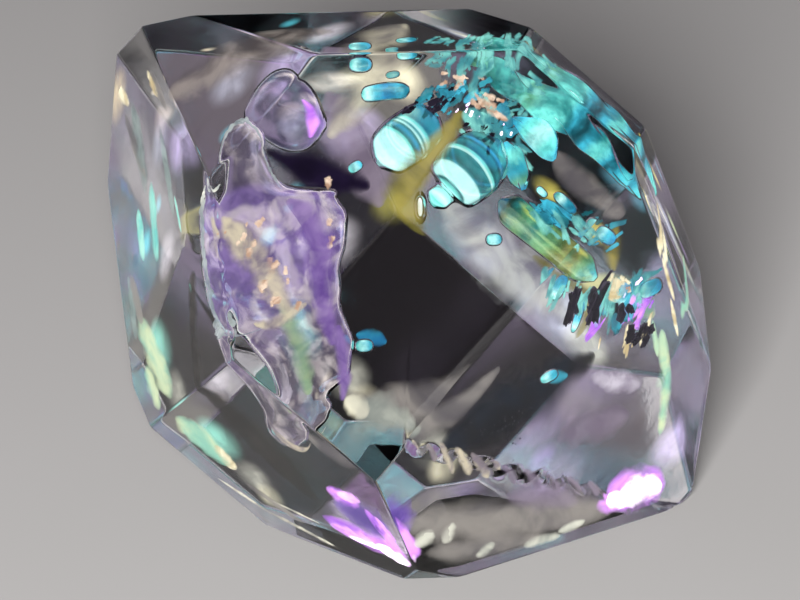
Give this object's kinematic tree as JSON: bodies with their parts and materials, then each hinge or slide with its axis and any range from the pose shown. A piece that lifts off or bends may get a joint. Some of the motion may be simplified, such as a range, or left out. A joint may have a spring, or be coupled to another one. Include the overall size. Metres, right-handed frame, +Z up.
{
  "type": "petroleum quartz crystal",
  "caption": "Clear, stubby, doubly terminated quartz crystal with sealed pockets of glowing cyan oil, a gas bubble and clear fluid, lying on a rhomb face.",
  "frame": {"origin": "on the ground, under the middle of the crystal's box", "axes": "+Z up, square to the rhomb face that it lies on; +X to the right and +Y away from the viewer, who faces the broad front face"},
  "size_m": [0.0122, 0.0098, 0.0105],
  "materials": {
    "clear_quartz": "clear, vitreous, faintly grey-lilac",
    "clear_fluid": "clear, faintly violet fluid with bright rims",
    "glowing_oil": "fluorescent cyan oil",
    "yellow_oil": "yellow-green oil",
    "gas": "gas bubble with a dark rim"
  },
  "bodies": {
    "root": {"bell_cavity_fluid": "clear_fluid", "gas_bubble": "gas", "oil_barrel_lower": "glowing_oil", "oil_barrel_upper": "glowing_oil", "oil_channel": "yellow_oil", "oil_drop_1": "glowing_oil", "oil_drop_2": "glowing_oil", "oil_drop_3": "glowing_oil", "oil_drop_4": "glowing_oil", "oil_drop_5": "glowing_oil", "oil_drop_6": "glowing_oil", "oil_drop_7": "glowing_oil", "oil_flake": "glowing_oil", "oil_pill_long": "glowing_oil", "oil_pill_round": "glowing_oil", "oil_pill_small": "glowing_oil", "oil_pill_top": "glowing_oil", "oil_sliver_1": "glowing_oil", "oil_sliver_2": "glowing_oil", "oil_sliver_3": "glowing_oil", "oil_sliver_4": "glowing_oil", "oil_sliver_5": "glowing_oil", "oil_stem": "glowing_oil", "oil_streak": "glowing_oil", "quartz_back": "clear_quartz", "quartz_front": "clear_quartz", "tall_cavity_fluid": "clear_fluid"}
  },
  "joints": []
}
